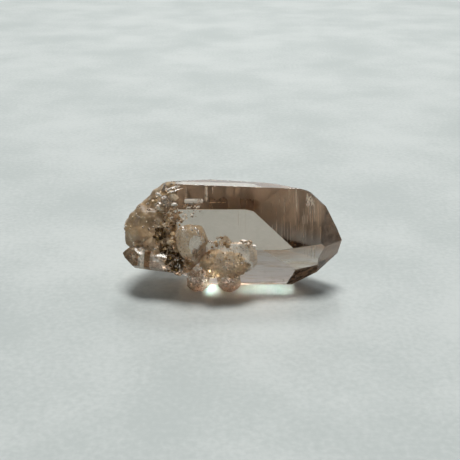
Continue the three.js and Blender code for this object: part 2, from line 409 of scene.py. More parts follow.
def melted(shape, grain, softness):
    # the body remade with an even skin, its edges worn down
    body = makeObject(shape, "body", scene.collection)
    skin = body.modifiers.new("skin", "REMESH")
    skin.mode = "VOXEL"
    skin.voxel_size = grain
    worn = appliedMesh(body)
    discard(body)
    for _ in range(softness):
        bmesh.ops.smooth_vert(
            worn, verts=worn.verts, factor=0.5, use_axis_x=True, use_axis_y=True, use_axis_z=True)
    return worn


layerApart = 7.3  # how far apart two layers of bumps are drawn from the same noise


def roughen(shape, layers, seed):
    # each layer is the size of its bumps and how far they stand out, in millimetres
    shape.normal_update()
    moves = []
    for vert in shape.verts:
        height = sum(
            depth * noise.noise(vert.co / size + Vector((seed, layer * layerApart, 0)))
            for layer, (size, depth) in enumerate(layers))
        moves.append(vert.normal * height)
    for vert, move in zip(shape.verts, moves):
        vert.co += move


longCrystal = {
    "axis": (0.0, 9.0, 12.0),
    "sides": {94: 12.3, 150: 7.65, 210: 7.95, 270: 12.0, 330: 7.6, 30: 8.95},
    "topFall": 1.8,
    "topFallStart": -1.0,
    "endLean": 38.2,
    "clearEnd": {94: 16.2, 150: 20.4, 210: 19.9, 270: 14.4, 330: 17.5},
    "frostedEnd": {94: -14.8, 150: -17.8, 210: -15.5, 270: -6.4, 330: -12.0, 30: -13.0},
    "extraFaces": [
        # side it turns from, lean, way, and the place it passes through
        (30, 11.0, 1, (3.7, 12.2, 24.3)),
        (60, 4.0, 1, (-6.0, 11.5, 24.25)),
        (60, 8.5, 1, (3.0, 10.8, 24.35)),
        (60, 15.0, 1, (9.2, 9.5, 24.2)),
        (13.85, 33.2, 1, (5.1, 18.5, 13.3)),
        (15, 43.8, 1, (24.0, 5.3, 15.25)),
        (60, 4.5, -1, (-3.0, 11.7, 24.15)),
        (194, 6.1, 1, (11.9, 0.0, 11.7)),
        (312, 38.2, 1, (13.3, 10.85, 0.0)),
    ],
    "clearFrom": -13.4,  # to the left of this the crystal is frosted over
    "wornTip": 22.0,
    "edgeRound": 0.05,
    "skins": [
        # the way the faces look, within how many degrees, from and to how far they look along the crystal,
        # and what they get
        (30, 32, -1.0, 0.75, "dull", 0.7),
        (-150, 20, -1.0, 0.4, "haze", 0.6),
        (-48, 8, 0.4, 1.0, "haze", 1.5),
        (180, 65, 0.4, 1.0, "haze", 0.45),
    ],
}


def longCrystalFaces():
    axis = Vector(longCrystal["axis"])
    faces = []
    onSide = {}
    for angle, distance in longCrystal["sides"].items():
        onSide[angle] = axis + sideNormal(angle) * distance
        fall = longCrystal["topFall"] if angle == 94 else 0
        normal = leaningNormal(angle, fall, 1)
        start = Vector((longCrystal["topFallStart"] if angle == 94 else 0, onSide[angle].y, onSide[angle].z))
        faces.append((normal, normal.dot(start)))
    for way, ends in ((1, longCrystal["clearEnd"]), (-1, longCrystal["frostedEnd"])):
        for angle, start in ends.items():
            normal = leaningNormal(angle, longCrystal["endLean"], way)
            faces.append((normal, normal.dot(Vector((start, onSide[angle].y, onSide[angle].z)))))
    for angle, lean, way, place in longCrystal["extraFaces"]:
        normal = leaningNormal(angle, lean, way)
        faces.append((normal, normal.dot(Vector(place))))
    return faces


def makeLongCrystal():
    toTheRight = (Vector((-1, 0, 0)), -longCrystal["clearFrom"])
    crystal = cutBlock([*longCrystalFaces(), toTheRight], blankHalf["long"])
    roundEdges(crystal, longCrystal["edgeRound"])
    finish(crystal, *bare)
    crystal.normal_update()
    for face in crystal.faces:
        turned = math.degrees(math.atan2(face.normal.z, face.normal.y))
        for way, within, start, end, name, amount in longCrystal["skins"]:
            off = abs((turned - way + 180) % 360 - 180)
            if off < within and start <= face.normal.x <= end:
                face[crystal.faces.layers.float[name]] = amount
    return crystal


# the places on the upper near side, the one that shows most: along the crystal, then up that side
nearSide = {
    "foot": (0.0, 0.0, 11.7),
    "out": sideNormal(150),
    "up": sideNormal(60),
}
lowerSide = {
    "foot": (0.0, 6.75, 0.0),
    "out": sideNormal(210),
    "up": sideNormal(120),
}
ledgeSide = {
    "foot": (0.0, 0.6, 11.6),
    "out": sideNormal(194),
    "up": sideNormal(104),
}

striations = [
    # side, along, width, bottom, top, height
    (nearSide, 14.8, 0.46, 8.7, 14.0, 0.22),
    (nearSide, 12.1, 0.36, 8.1, 11.5, 0.16),
    (nearSide, 16.1, 0.26, 5.8, 7.6, 0.13),
    (nearSide, 16.65, 0.24, 5.8, 7.9, 0.12),
    (nearSide, 17.2, 0.26, 5.7, 7.8, 0.13),
    (nearSide, 17.9, 0.32, 6.0, 10.0, 0.16),
    (nearSide, 18.8, 0.34, 6.3, 10.3, 0.18),
    (nearSide, 16.4, 0.14, 0.8, 9.4, 0.07),
    (nearSide, 11.0, 0.16, 9.6, 12.2, 0.08),
    (nearSide, 13.2, 0.18, 10.2, 13.6, 0.09),
    (nearSide, -5.4, 0.60, 10.8, 14.2, 0.14),
    (nearSide, -9.9, 0.34, 11.6, 14.2, 0.10),
    (nearSide, -4.0, 0.34, 12.7, 14.2, 0.10),
    (nearSide, -8.2, 4.6, 10.5, 11.5, 0.20, 0.1, 0.0, 0.9, 0.0, (0.4, 0.75, 0.0)),
    (nearSide, -7.2, 1.2, 9.4, 9.9, 0.14, 0.3, 0.3, 0.5, 0.1, (0.4, 0.6, 0.05)),
    (nearSide, -9.4, 1.4, 9.1, 9.7, 0.14, 0.3, 0.3, 0.5, 0.1, (0.4, 0.6, 0.05)),
    # these two lay pale crust over the lines at -5.4 and -9.9, painted highlight
    (nearSide, -5.4, 0.75, 10.9, 14.4, 0.05, 0.1, 0.02, 0.9, 0.0, (0.3, 0.4, 0.3)),
    (nearSide, -9.9, 0.22, 11.6, 14.4, 0.05, 0.1, 0.02, 0.9, 0.0, (0.3, 0.4, 0.3)),
    (nearSide, -3.0, 4.4, 10.6, 10.75, 0.04, 0.1, 0.0, 0.9, 0.0, (0.3, 0.4, 0.4)),
    (ledgeSide, 16.6, 0.20, -1.6, 0.4, 0.10),
    (ledgeSide, 17.4, 0.22, -2.2, 0.5, 0.11),
    (ledgeSide, 18.2, 0.26, -2.5, 0.6, 0.13),
    (ledgeSide, 18.9, 0.30, -2.7, 0.7, 0.15),
]

# the growth lines carry a pale cream crust, painted highlight for the light their steps catch
lineCoatPaintedHighlight = (0.2, 0.55, 0.0)

fineStriations = {
    "seed": 5,
    "count": 60,
    "from": 1.0,
    "to": 20.5,
    "width": (0.06, 0.22),
    "length": (1.0, 6.5),
    "steepness": (0.2, 0.5),
    "crowded": 1.8,  # the higher, the more of them stand by the clear tip
    "upTheSide": (0.6, 13.6),
    "skew": 0.02,
    "apex": (-0.2, 0.35),
    "finish": (0.1, 0.04, 0.0),
}

# long low steps that run with the crystal: side, along from, along to, up the side, height and width
runningSteps = [
    (lowerSide, -1.0, 12.5, 1.6, 0.012, 1.8),
    (lowerSide, 3.6, 16.0, 4.2, 0.016, 2.4),
    (lowerSide, 7.2, 12.0, 6.3, 0.01, 1.2),
]

# a small chipped place on the near side, middle and reach given along and up the side
chippedPatch = {
    "middle": (17.9, 11.2),
    "reach": (0.85, 1.3),
    "count": 40,
    "seed": 31,
    "tall": (0.3, 1.1),
    "wide": (0.15, 0.5),
    "height": (0.05, 0.16),
    "skew": 0.3,
    "crown": (0.1, 0.7),
    "fromEdge": 0.2,
    "finish": (0.6, 0.85, 0.1),
    "uneven": (0.4, 1.4),
}


def onSide(side, along, up, outwards=0.0):
    return Vector(side["foot"]) + side["up"] * up + side["out"] * outwards + Vector((along, 0, 0))


def withinSides(place, slack=0.02):
    return all(normal.dot(place) < distance + slack for normal, distance in longCrystalFaces())


plateFall = 0.45  # how much lower a growth line is at its ends


def makePlate(
        side, along, width, low, high, height, taper=0.5, skew=0.0, crown=0.1, apex=0.3, coat=lineCoatPaintedHighlight):
    # a growth line: a thin ridge half sunk in the side, narrower at its ends
    plate = bmesh.new()
    bmesh.ops.create_cube(plate, size=1.0)
    lengthwise = [edge for edge in plate.edges if abs(edge.verts[0].co.y - edge.verts[1].co.y) > 0.5]
    bmesh.ops.subdivide_edges(plate, edges=lengthwise, cuts=3)
    for vert in plate.verts:
        inward = abs(vert.co.y) * 2
        vert.co.x *= 1 - taper * inward ** 2
        vert.co.z *= 1 - plateFall * inward ** 2
        if vert.co.z > 0:
            vert.co.x = vert.co.x * crown + apex * (1 - inward ** 2)
    out, up = side["out"], side["up"]
    middle = onSide(side, along, (low + high) / 2)
    turn = Matrix((
        (width, skew * (high - low), 0, middle.x),
        (0, up.y * (high - low), out.y * 2 * height, middle.y),
        (0, up.z * (high - low), out.z * 2 * height, middle.z),
        (0, 0, 0, 1),
    ))
    bmesh.ops.transform(plate, matrix=turn, verts=plate.verts)
    bmesh.ops.recalc_face_normals(plate, faces=plate.faces)
    return finish(plate, *coat)


def makeStep(side, start, end, upAt, height, width):
    step = makePlate(side, 0, width, 0, end - start, height, taper=0.8, crown=0.5, apex=0.0, coat=bare)
    turn = Matrix.Rotation(math.radians(90), 4, side["out"])
    middle = onSide(side, 0, (end - start) / 2)
    place = onSide(side, (start + end) / 2, upAt)
    bmesh.ops.transform(
        step, matrix=Matrix.Translation(place) @ turn @ Matrix.Translation(-middle), verts=step.verts)
    return step


def makeChips():
    pick = random.Random(chippedPatch["seed"])
    chips = []
    for _ in range(chippedPatch["count"]):
        along = chippedPatch["middle"][0] + chippedPatch["reach"][0] * pick.uniform(-1, 1)
        up = chippedPatch["middle"][1] + chippedPatch["reach"][1] * pick.uniform(-1, 1)
        tall = pick.uniform(*chippedPatch["tall"])
        if not withinSides(onSide(nearSide, along + chippedPatch["fromEdge"], up + tall)):
            continue
        coat = [share * pick.uniform(*chippedPatch["uneven"]) for share in chippedPatch["finish"]]
        width, height = pick.uniform(*chippedPatch["wide"]), pick.uniform(*chippedPatch["height"])
        skew = pick.uniform(-chippedPatch["skew"], chippedPatch["skew"])
        crown = pick.uniform(*chippedPatch["crown"])
        chips.append(makePlate(
            nearSide, along, width, up - tall / 2, up + tall / 2, height, skew=skew, crown=crown, coat=coat))
    return chips


def makeStriations():
    plates = [makePlate(*entry) for entry in striations]
    pick = random.Random(fineStriations["seed"])
    for _ in range(fineStriations["count"]):
        side = pick.choice((nearSide, nearSide, lowerSide))
        reach = fineStriations["to"] - fineStriations["from"]
        along = fineStriations["to"] - reach * pick.random() ** fineStriations["crowded"]
        length = pick.uniform(*fineStriations["length"])
        bottom, top = fineStriations["upTheSide"]
        low = pick.uniform(bottom, top - length)
        width = pick.uniform(*fineStriations["width"])
        height = width * pick.uniform(*fineStriations["steepness"])
        skew = pick.uniform(-fineStriations["skew"], fineStriations["skew"])
        apex = pick.uniform(*fineStriations["apex"])
        if withinSides(onSide(side, along, low)) and withinSides(onSide(side, along, low + length)):
            plates.append(makePlate(
                side, along, width, low, low + length, height, skew=skew, apex=apex,
                coat=fineStriations["finish"]))
    return plates + makeChips() + [makeStep(*entry) for entry in runningSteps]


def pointing(turn, rise):
    turn, rise = math.radians(turn), math.radians(rise)
    return Vector((math.cos(turn) * math.cos(rise), math.sin(turn) * math.cos(rise), math.sin(rise)))


def standFacing(shape, tip, direction, towards):
    # the first side of the crystal looks as nearly as it can the way given
    across = (towards - direction * towards.dot(direction)).normalized()
    turn = Matrix((across, direction.cross(across), direction)).transposed().to_4x4()
    bmesh.ops.transform(shape, matrix=Matrix.Translation(tip) @ turn, verts=shape.verts)


smallCrystal = {
    # how uneven its faces are, and how fast that changes from crystal to crystal and from face to face
    "uneven": 0.12,
    "perCrystal": 2.4,
    "perFace": 1.9,
    "smallerEndFace": 0.14,
    "edgeRound": 0.05,
    "edgeShare": 0.03,  # of the radius, where that is less
    "endsFrom": 0.4,
}


def smallCrystalFaces(order, radius, length, spin, blunt):
    # six sides and six end faces on a point that stands on its tip's place, each a little uneven
    faces = []
    lean = math.radians(longCrystal["endLean"])

    def uneven(k):
        return 1 + smallCrystal["uneven"] * math.sin(
            smallCrystal["perCrystal"] * order + smallCrystal["perFace"] * k)

    for k in range(6):
        around = math.radians(60 * k + spin)
        outward = Vector((math.cos(around), math.sin(around), 0))
        faces.append((outward, radius * uneven(k)))
        smaller = 0 if k % 2 == 0 else smallCrystal["smallerEndFace"] * radius
        faces.append((outward * math.cos(lean) + Vector((0, 0, math.sin(lean))), smaller * uneven(k + 3)))
    if blunt:
        faces.append((Vector((0, 0, 1)), -blunt))
    faces.append((Vector((0, 0, -1)), length))
    return faces


def makeCrystal(order, tip, turn, rise, radius, length, spin, blunt, sides=bare, ends=None):
    crystal = cutBlock(smallCrystalFaces(order, radius, length, spin, blunt), blankHalf["small"])
    roundEdges(crystal, min(smallCrystal["edgeRound"], radius * smallCrystal["edgeShare"]))
    direction = pointing(turn, rise)
    standAt(crystal, tip, direction)
    finish(crystal, *sides)
    if ends:
        crystal.normal_update()
        layers = coatLayers(crystal)
        for face in crystal.faces:
            if face.normal.dot(direction) > smallCrystal["endsFrom"]:
                coatFace(face, layers, ends)
    return crystal


# crystals that have lost their edges, melted together lump by lump
underTheFrost = 1.6  # how far the frosted end reaches into the clear crystal
lumpGrowth = 40  # their crystals are counted from here, so that they are uneven in ways of their own

lumps = {
    "left mass": {
        "crystals": {
            # tip, turn, rise, radius, length, spin, blunt
            "bulge": ((-26.6, 6.4, 13.6), 184, 0, 4.8, 10, 12, 2.6),
            "upper bulge": ((-25.0, 6.4, 16.9), 174, 20, 4.3, 10, 40, 1.8),
            "brow": ((-21.6, 3.6, 19.6), -140, 32, 4.2, 10, 24, 1.0),
            "cheek": ((-21.2, 0.4, 14.6), -128, 6, 3.8, 9, 5, 1.0),
            "high point": ((-18.3, 7.8, 22.8), -168, 37, 2.9, 9, 0, 0.6),
            "back bulge": ((-22.8, 12.4, 11.4), 160, -4, 5.0, 10, 8, 0.8),
            "back point": ((-19.6, 17.6, 12.0), 140, 5, 2.8, 12, 14, 0),
            "back low knob": ((-15.2, 15.8, 6.6), 120, -20, 2.3, 8, 3, 0),
            "back high knob": ((-16.4, 14.0, 19.0), 130, 35, 2.2, 8, 37, 0),
        },
        "withFrostedEnd": True,
        "grain": 0.24,
        "softness": 10,
        "bumps": [(2.6, 0.13), (1.1, 0.09), (0.5, 0.05)],
        "finish": (0.7, 0.62, 0.52),
        "seed": 3.0,
    },
    "brown mass": {
        "crystals": {
            "right end": ((5.0, -1.5, 8.7), 2, -3, 2.6, 10, 0, 0.6),
            "upper": ((1.6, -1.8, 10.3), 8, 10, 2.0, 7, 5, 0.7),
            "left end": ((-7.8, -1.2, 9.6), 186, 2, 2.5, 10, 10, 1.0),
            "front": ((-2.6, -3.6, 9.4), -92, -4, 2.4, 6, 33, 1.0),
            "low knob": ((1.4, -2.9, 8.0), -70, -12, 1.8, 5, 12, 0.7),
        },
        "grain": 0.2,
        "softness": 6,
        "bumps": [(1.5, 0.4), (0.7, 0.28), (0.32, 0.14)],
        "finish": (0.5, 0.62, 0.55),
        "seed": 8.0,
    },
    "left foot": {
        "crystals": {
            "foot": ((-7.7, 4.7, -2.2), 200, -86, 2.2, 10.0, 5, 1.8),
            "instep": ((-8.1, 1.3, 3.4), -95, -10, 1.8, 5, 15, 0.7),
        },
        "grain": 0.18,
        "softness": 12,
        "bumps": [(1.2, 0.22), (0.5, 0.2), (0.25, 0.08)],
        "finish": (0.3, 0.5, 0.18),
        "seed": 14.0,
    },
    "right foot": {
        "crystals": {
            "foot": ((0.1, 4.6, -2.0), 20, -84, 2.3, 8.4, 20, 1.8),
            "instep": ((0.6, 2.2, 3.2), -80, -12, 1.7, 5, 2, 0.5),
        },
        "grain": 0.18,
        "softness": 12,
        "bumps": [(1.2, 0.2), (0.5, 0.2), (0.25, 0.08)],
        "finish": (0.3, 0.5, 0.25),
        "seed": 19.0,
    },
}

# a rounded stub with one clean face that looks at the viewer
stub = {
    "tip": (-10.1, -3.3, 17.7),
    "turn": -112.0,
    "rise": 46.0,
    "radius": 3.5,
    "length": 10.0,
    "cleanFace": (0.55, -0.82, -0.05),
    "grain": 0.16,
    "softness": 48,
    "bumps": [(1.6, 0.14), (0.6, 0.06)],
    "growth": 7,
    "seed": 27.0,
    "finish": (0.45, 0.52, 0.46),
    "clean": (0.2, 0.2, 0.02),
    "cleanFrom": 0.9,
    "cleanMiddle": (-7.4, -4.2, 14.1),
    "cleanReach": (1.7, 3.0, 2.5),
}

sharpCrystals = {
    # tip, turn, rise, radius, length, spin, blunt,
    # then frost, crust and rust of its sides and of its ends
    "clear block": ((7.8, 1.0, 10.0), 4, 2, 3.1, 10, 0, 1.9, (0.4, 0.64, 0.06), (0.3, 0.4, 0.35)),
    "small peak": ((-0.9, 0.1, 14.9), -80, 72, 1.6, 6, 20, 0, (0.4, 0.7, 0.65)),
    "block knob": ((3.2, -0.6, 12.6), -60, 30, 1.9, 6, 15, 0.4, (0.3, 0.5, 0.5)),
    "rib beside the stub": ((-3.4, -0.5, 13.2), -40, 25, 1.3, 5, 12, 0, (0.1, 0.1, 0.2)),
    "knob over the brown mass": ((-0.9, -1.0, 12.2), -70, 50, 1.2, 5, 40, 0, (0.2, 0.45, 0.75)),
    "second knob over it": ((1.6, -1.2, 11.4), -60, 35, 1.4, 5, 10, 0, (0.2, 0.35, 0.6)),
    "knob under the stub": ((-9.0, -2.2, 8.6), -80, -10, 2.2, 7, 8, 0, (0.4, 0.4, 0.6)),
    "crest point": ((-15.0, 6.4, 24.2), -115, 42, 1.8, 7, 22, 0, (0.1, 0.1, 0.0)),
    "crest knob": ((-12.7, 4.8, 22.8), -70, 30, 1.5, 6, 45, 0, (0.1, 0.15, 0.0)),
    "crest rib": ((-15.6, 3.0, 21.0), -100, 25, 1.9, 6, 31, 0, (0.3, 0.5, 0.45)),
    "seam point high": ((-12.6, 2.3, 19.4), -80, 30, 1.5, 6, 33, 0, (0.3, 0.5, 0.5)),
    "seam point middle": ((-13.6, 0.5, 17.2), -95, 20, 1.6, 6, 11, 0, (0.3, 0.6, 0.6)),
    "seam point low": ((-13.2, -1.4, 14.0), -110, 8, 1.5, 6, 3, 0, (0.3, 0.6, 0.7)),
    "cheek knob": ((-19.2, -0.8, 12.6), -120, -2, 1.7, 7, 50, 0, (0.5, 0.4, 0.5)),
    "chin knob": ((-16.9, -0.9, 10.6), -105, -12, 1.8, 7, 16, 0, (0.4, 0.4, 0.6)),
    "low left shoulder": ((-21.6, 1.6, 12.2), -150, -5, 1.9, 8, 21, 0, (0.5, 0.4, 0.6)),
    "foot shoulder": ((-10.4, 0.9, 5.4), -110, -40, 1.6, 6, 27, 0, (0.3, 0.4, 0.5)),
    "back seam knob": ((-15.8, 17.0, 15.4), 95, 25, 1.8, 7, 19, 0, (0.4, 0.3, 0.3)),
}


# a glassy point low on the left, with a pale band and a dark brown band across it; the dark brown crust on
# its end faces is painted shade for the dark that the point mirrors
lowLeftPoint = {
    "crystal": ((-24.4, 3.3, 9.5), 173, 5, 3.0, 14.5, 27, 0, (0.2, 0.34, 0.04), (0.3, 0.5, 0.95)),
    "bands": [
        # how far from the tip it starts and ends, then frost, crust and rust
        (4.7, 5.6, (0.3, 0.75, 0.05)),
        (5.6, 6.9, (0.2, 0.65, 0.95)),
    ],
}


def makeLowLeftPoint():
    tip, turn, rise = lowLeftPoint["crystal"][:3]
    crystal = makeCrystal(0, *lowLeftPoint["crystal"])
    tip, direction = Vector(tip), pointing(turn, rise)
    layers = coatLayers(crystal)
    for start, end, coat in lowLeftPoint["bands"]:
        for depth in (start, end):
            place = tip - direction * depth
            bmesh.ops.bisect_plane(
                crystal, geom=allOf(crystal), dist=tidyCut, plane_co=place, plane_no=direction)
        for face in crystal.faces:
            if start < (tip - face.calc_center_median()).dot(direction) < end:
                coatFace(face, layers, coat)
    return crystal


def makeLump(look):
    entries = look["crystals"].values()
    crystals = [makeCrystal(lumpGrowth + order, *entry) for order, entry in enumerate(entries)]
    if look.get("withFrostedEnd"):
        toTheLeft = (Vector((1, 0, 0)), longCrystal["clearFrom"] + underTheFrost)
        wornOff = (Vector((-1, 0, 0)), longCrystal["wornTip"])
        frostedEnd = cutBlock([*longCrystalFaces(), toTheLeft, wornOff], blankHalf["long"])
        crystals.insert(0, finish(frostedEnd, *bare))
    lump = melted(growTogether(crystals[0], crystals[1:]), look["grain"], look["softness"])
    roughen(lump, look["bumps"], look["seed"])
    return finish(lump, *look["finish"])


def makeStub():
    faces = smallCrystalFaces(stub["growth"], stub["radius"], stub["length"], 0, 0)
    lump = cutBlock(faces, blankHalf["small"])
    standFacing(lump, stub["tip"], pointing(stub["turn"], stub["rise"]), Vector(stub["cleanFace"]))
    lump = melted(lump, stub["grain"], stub["softness"])
    roughen(lump, stub["bumps"], stub["seed"])
    finish(lump, *stub["finish"])
    lump.normal_update()
    layers = coatLayers(lump)
    for face in lump.faces:
        away = face.calc_center_median() - Vector(stub["cleanMiddle"])
        within = Vector(away[axis] / stub["cleanReach"][axis] for axis in range(3)).length < 1
        if within and face.normal.dot(Vector(stub["cleanFace"]).normalized()) > stub["cleanFrom"]:
            coatFace(face, layers, stub["clean"])
    return lump


# fields of little points, each sown from one direction on whatever lies behind
druse = {
    # middle, radius, count, size, turn and rise of the way it faces, share of its points that
    # catch the light, then frost, crust and rust
    "crest": ((-14.4, 3.8, 22.4), 2.4, 22, (0.3, 0.9), (-95, 35), 0.4, (0.3, 0.5, 0.2)),
    "seam": ((-13.0, 1.0, 18.6), 2.3, 50, (0.2, 0.6), (-95, 20), 0.5, (0.15, 0.45, 0.4)),
    "seam by the clay": ((-14.4, -1.0, 14.0), 2.6, 44, (0.2, 0.6), (-95, 10), 0.25, (0.3, 0.7, 0.5)),
    "below the stub": ((-12.0, -1.0, 9.0), 2.8, 44, (0.2, 0.6), (-90, -5), 0.25, (0.3, 0.6, 0.5)),
    "stub crown": ((-9.6, -2.0, 18.0), 2.3, 34, (0.12, 0.34), (-90, 50), 0.8, (0.12, 0.4, 0.1)),
    "stub side": ((-6.2, -2.6, 16.4), 1.4, 10, (0.16, 0.4), (-75, 40), 0.7, (0.1, 0.35, 0.1)),
    "over the brown mass": ((-1.6, -0.6, 12.0), 3.2, 30, (0.2, 0.55), (-85, 30), 0.35, (0.2, 0.45, 0.6)),
    "on the brown mass": ((-0.4, -2.2, 9.2), 4.4, 34, (0.12, 0.36), (-88, 15), 0.7, (0.2, 0.6, 0.4)),
    "left foot": ((-7.5, 2.2, 4.0), 2.6, 44, (0.16, 0.42), (-90, 10), 0.7, (0.06, 0.2, 0.3)),
    "right foot": ((0.1, 2.6, 3.0), 2.2, 30, (0.16, 0.42), (-88, 10), 0.7, (0.06, 0.2, 0.35)),
    "left mass": ((-20.0, 0.5, 15.0), 5.4, 44, (0.12, 0.34), (-115, 15), 0.8, (0.25, 0.8, 0.2)),
    "left brow": ((-18.6, 3.0, 20.0), 2.8, 20, (0.14, 0.4), (-110, 25), 0.8, (0.2, 0.7, 0.15)),
    "under the veil": ((-9.2, 4.0, 19.4), 1.9, 22, (0.12, 0.32), (-90, 30), 0.5, (0.2, 0.5, 0.1)),
    "golden edge": ((-15.2, 0.0, 17.2), 1.1, 30, (0.12, 0.3), (-95, 20), 0.4, (0.3, 0.9, 0.35)),
    "behind": ((-17.6, 17.6, 13.0), 3.6, 50, (0.3, 0.9), (90, 15), 0.2, (0.4, 0.4, 0.4)),
    "stub rim": ((-7.6, -2.5, 17.0), 1.0, 14, (0.12, 0.3), (-88, 30), 1.0, (0.06, 0.2, 0.0)),
    # the tan crust on these shining points paints their glints golden, a painted highlight
    "block crown": ((3.7, -0.4, 13.6), 1.2, 14, (0.14, 0.4), (-85, 35), 1.0, (0.1, 0.8, 0.55)),
}

# which way a flat face looks when it mirrors the softbox to the viewer
toSoftbox = (Vector(lamps["softbox"]["place"]) - Vector(view["aim"])).normalized()
mirroring = (toSoftbox + pointing(-90, view["rise"])).normalized()

# flat faces that catch the light, mirroring the softbox, their pale crust a painted highlight, golden where
# they carry rust: middle, width, depth, turn, then frost, crust and rust
brightFaces = [
    ((-12.6, 6.0, 24.3), 2.0, 0.40, 30, (0.16, 0.7, 0.0)),
    ((-11.9, 5.4, 23.9), 1.9, 0.22, 34, (0.2, 0.4, 0.0)),
    ((-12.9, 5.0, 23.7), 1.5, 0.30, 26, (0.16, 0.8, 0.05)),
    ((-14.0, 5.4, 24.0), 0.9, 0.4, -30, (0.1, 0.4, 0.0)),
    ((-15.9, 4.4, 23.3), 1.2, 0.5, -40, (0.3, 0.9, 0.0)),
    ((-14.7, 3.6, 22.4), 0.8, 0.4, -50, (0.3, 0.9, 0.1)),
    ((-15.3, 2.9, 21.5), 0.5, 0.4, 30, (0.3, 0.9, 0.1)),
    ((-12.3, 2.0, 21.8), 0.9, 0.6, 5, (0.3, 0.9, 0.0)),
    ((-12.1, 1.8, 20.2), 0.5, 0.4, 5, (0.3, 0.8, 0.0)),
    ((-10.5, 3.4, 17.6), 0.5, 0.45, 0, (0.3, 0.8, 0.05)),
    ((-13.6, 1.2, 18.9), 0.5, 0.25, 60, (0.3, 0.8, 0.3)),
    ((3.0, -1.0, 14.2), 1.3, 0.55, -14, (0.1, 0.7, 0.35)),
    ((4.0, -1.1, 13.6), 0.9, 0.45, 35, (0.1, 0.6, 0.35)),
    ((4.5, -0.9, 14.1), 0.6, 0.4, 80, (0.1, 0.5, 0.3)),
    ((5.3, -1.0, 13.0), 0.7, 0.6, 20, (0.1, 0.7, 0.0)),
    ((2.5, -3.0, 9.9), 0.6, 0.3, 10, (0.15, 0.5, 0.0)),
    ((-6.6, 1.0, 6.0), 0.35, 0.25, 10, (0.15, 0.4, 0.0)),
    ((-7.1, 0.9, 7.2), 0.3, 0.25, 40, (0.15, 0.4, 0.0)),
    ((-16.7, -1.2, 12.4), 0.4, 0.3, 0, (0.15, 0.5, 0.0)),
]


brightFace = {"foot": 0.9, "top": 0.5, "thickness": 0.7}


def makeBrightFace(middle, width, depth, turn, coat):
    face = bmesh.new()
    bmesh.ops.create_cone(
        face, cap_ends=True, segments=6, radius1=brightFace["foot"], radius2=brightFace["top"], depth=1.0)
    size = Matrix.Diagonal((width, depth, brightFace["thickness"] * depth, 1))
    spread = Matrix.Rotation(math.radians(turn), 4, "Z") @ size
    bmesh.ops.transform(face, matrix=spread, verts=face.verts)
    standAt(face, Vector(middle), mirroring)
    return finish(face, *coat)


sownFrom = 15  # how far in front of a field it is sown from


def drawSpot(pick, middle, radius, sizes, facing):
    # a place in front of a field, and how big the thing is that goes behind it
    across = facing.orthogonal().normalized()
    upward = facing.cross(across)
    distance, around = radius * math.sqrt(pick.random()), pick.uniform(0, math.tau)
    size = sizes[0] + (sizes[1] - sizes[0]) * pick.random() ** 2
    aside = (across * math.cos(around) + upward * math.sin(around)) * distance
    return Vector(middle) + facing * sownFrom + aside, size


drusePoint = {
    "seed": 11,
    "outwards": 0.4,  # how far a point turns to the way its field faces, and how far it strays
    "stray": 0.45,
    "shineStray": 0.03,
    "shineTurn": 0.2,
    "whole": 0.7,  # share of the points that keep their tips
    "blunt": 0.4,
    "length": 4,
    "standsOut": (0.7, 1.6),
    "shineStandsOut": 0.9,
    "wear": 2.0,
    "uneven": (0.4, 1.5),
}


def sowDruse(body):
    skin = BVHTree.FromBMesh(body)
    shape = drusePoint
    pick = random.Random(shape["seed"])
    lean = math.radians(longCrystal["endLean"])
    points = []
    for middle, radius, count, sizes, (turn, rise), shining, coat in druse.values():
        facing = pointing(turn, rise)
        for _ in range(count):
            above, size = drawSpot(pick, middle, radius, sizes, facing)
            stray = Vector((pick.gauss(0, 1), pick.gauss(0, 1), pick.gauss(0, 1)))
            spin, shines = pick.uniform(0, 60), pick.random() < shining
            place, normal, _, _ = skin.ray_cast(above, -facing)
            if place is None:
                continue
            blunt = 0 if pick.random() < shape["whole"] else size * shape["blunt"]
            faces = smallCrystalFaces(
                pick.uniform(0, 9), size, size * shape["length"], 0 if shines else spin, blunt)
            crystal = cutBlock(faces, blankHalf["druse"])
            if shines:
                # one end face mirrors the softbox, the rest of the crystal turned about that face as it falls
                shiny = (mirroring + stray * shape["shineStray"]).normalized()
                outward = normal + stray * shape["shineTurn"]
                aside = (outward - shiny * outward.dot(shiny)).normalized()
                direction = (shiny * math.sin(lean) + aside * math.cos(lean)).normalized()
                standFacing(crystal, place + direction * size * shape["shineStandsOut"], direction, shiny)
                worn = 1.0
            else:
                direction = (normal + facing * shape["outwards"] + stray * shape["stray"]).normalized()
                standAt(crystal, place + direction * size * pick.uniform(*shape["standsOut"]), direction)
                worn = shape["wear"]
            points.append(finish(crystal, *(share * worn * pick.uniform(*shape["uneven"]) for share in coat)))
    print(f"  druse: {len(points)} points")
    return points


# cracks and little hollows sealed in the long crystal, as far inside the near side as depth says
cracks = [
    # along, up, depth, half length, half height, turn, tilt
    (-8.2, 10.9, 0.5, 2.0, 0.55, -8, 10),
]

crackShape = {
    "thickness": 0.03,
    # how much, and how closely set
    "ragged": (0.35, 1.7),
    "warp": (0.25, 2.1),
    "ripple": (0.05, 7),
}


